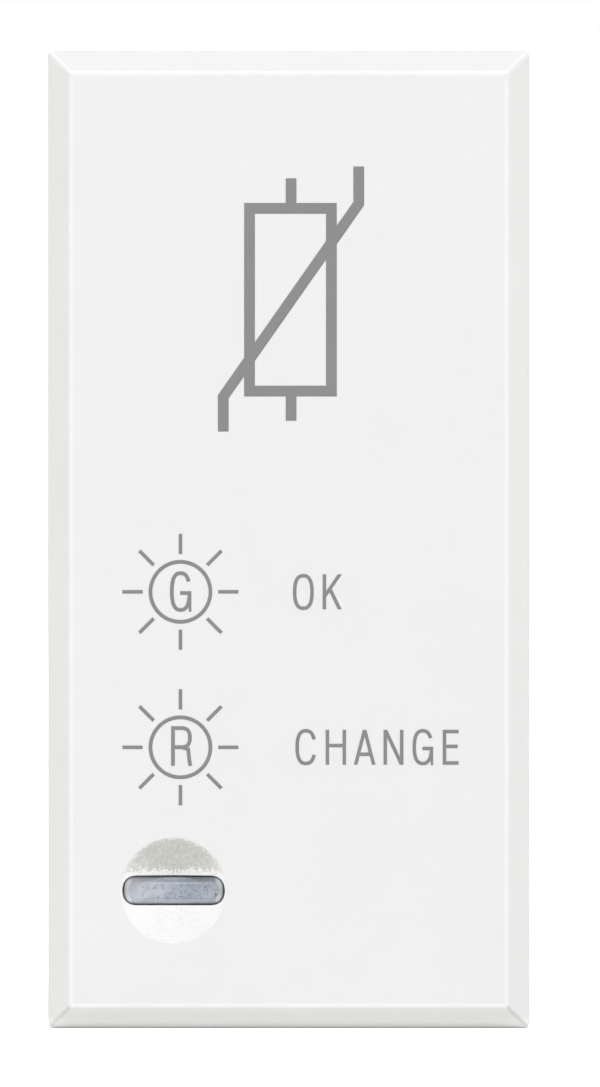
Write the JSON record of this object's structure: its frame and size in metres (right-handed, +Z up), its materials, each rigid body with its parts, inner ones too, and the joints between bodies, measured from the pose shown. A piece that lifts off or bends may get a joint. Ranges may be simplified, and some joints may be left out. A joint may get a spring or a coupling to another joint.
{
  "type": "surge protector module",
  "caption": "Flush-mounting surge protector module with a bevelled cover, an indicator window in a round dish, a clip frame with spring latches and rear screw clamps.",
  "frame": {"origin": "middle of the seat, the back face of the clip frame's flange", "axes": "+X to the right and +Z up as seen from the front, +Y from the face back into the wall"},
  "size_m": [0.0222, 0.0415, 0.045],
  "materials": {
    "cover_white": "satin, lightly polished",
    "guide_clear": "clear, slightly smoked",
    "frame_white": "fine matt",
    "housing_grey": "fine spark texture",
    "board_green": "solder mask",
    "disc_blue": "dipped epoxy",
    "fuse_metal": "tinned",
    "tube_ceramic": "glazed",
    "capacitor_yellow": "moulded",
    "resistor_tan": "lacquered",
    "diode_black": "moulded",
    "lamp_green": "tinted",
    "lamp_red": "tinted",
    "bar_brass": "stamped",
    "cage_steel": "zinc plated",
    "screw_steel": "zinc plated"
  },
  "bodies": {
    "module": {"front_cover": "cover_white", "light_guide": "guide_clear", "clip_frame": "frame_white", "rear_housing": "housing_grey", "circuit_board": "board_green", "varistor_line": "disc_blue", "varistor_neutral": "disc_blue", "thermal_fuse_line": "fuse_metal", "thermal_fuse_neutral": "fuse_metal", "gas_discharge_tube": "tube_ceramic", "film_capacitor": "capacitor_yellow", "resistor_green": "resistor_tan", "resistor_red": "resistor_tan", "diode_green": "diode_black", "diode_red": "diode_black", "green_lamp": "lamp_green", "red_lamp": "lamp_red", "contact_bar_line": "bar_brass", "contact_bar_neutral": "bar_brass", "contact_bar_earth": "bar_brass"},
    "cage_line": {"clamp_cage_line": "cage_steel"},
    "screw_line": {"terminal_screw_line": "screw_steel"},
    "cage_neutral": {"clamp_cage_neutral": "cage_steel"},
    "screw_neutral": {"terminal_screw_neutral": "screw_steel"},
    "cage_earth": {"clamp_cage_earth": "cage_steel"},
    "screw_earth": {"terminal_screw_earth": "screw_steel"}
  },
  "joints": [
    {"name": "screw_turn_line", "type": "hinge", "parent": "module", "child": "screw_line", "pos_m": [-0.0047, 0.0284, 0.0126], "axis": [0, -1, 0], "range_deg": [0, 1800]},
    {"name": "cage_rise_line", "type": "slide", "parent": "module", "child": "cage_line", "axis": [0, 1, 0], "range_m": [0, 0.003]},
    {"name": "screw_turn_neutral", "type": "hinge", "parent": "module", "child": "screw_neutral", "pos_m": [0.0047, 0.0284, 0.0126], "axis": [0, -1, 0], "range_deg": [0, 1800]},
    {"name": "cage_rise_neutral", "type": "slide", "parent": "module", "child": "cage_neutral", "axis": [0, 1, 0], "range_m": [0, 0.003]},
    {"name": "screw_turn_earth", "type": "hinge", "parent": "module", "child": "screw_earth", "pos_m": [0, 0.0284, -0.0126], "axis": [0, -1, 0], "range_deg": [0, 1800]},
    {"name": "cage_rise_earth", "type": "slide", "parent": "module", "child": "cage_earth", "axis": [0, 1, 0], "range_m": [0, 0.003]}
  ],
  "couplings": [
    {"joint": "screw_turn_line", "follows": "cage_rise_line", "rad_per_m": 10472},
    {"joint": "screw_turn_neutral", "follows": "cage_rise_neutral", "rad_per_m": 10472},
    {"joint": "screw_turn_earth", "follows": "cage_rise_earth", "rad_per_m": 10472}
  ]
}
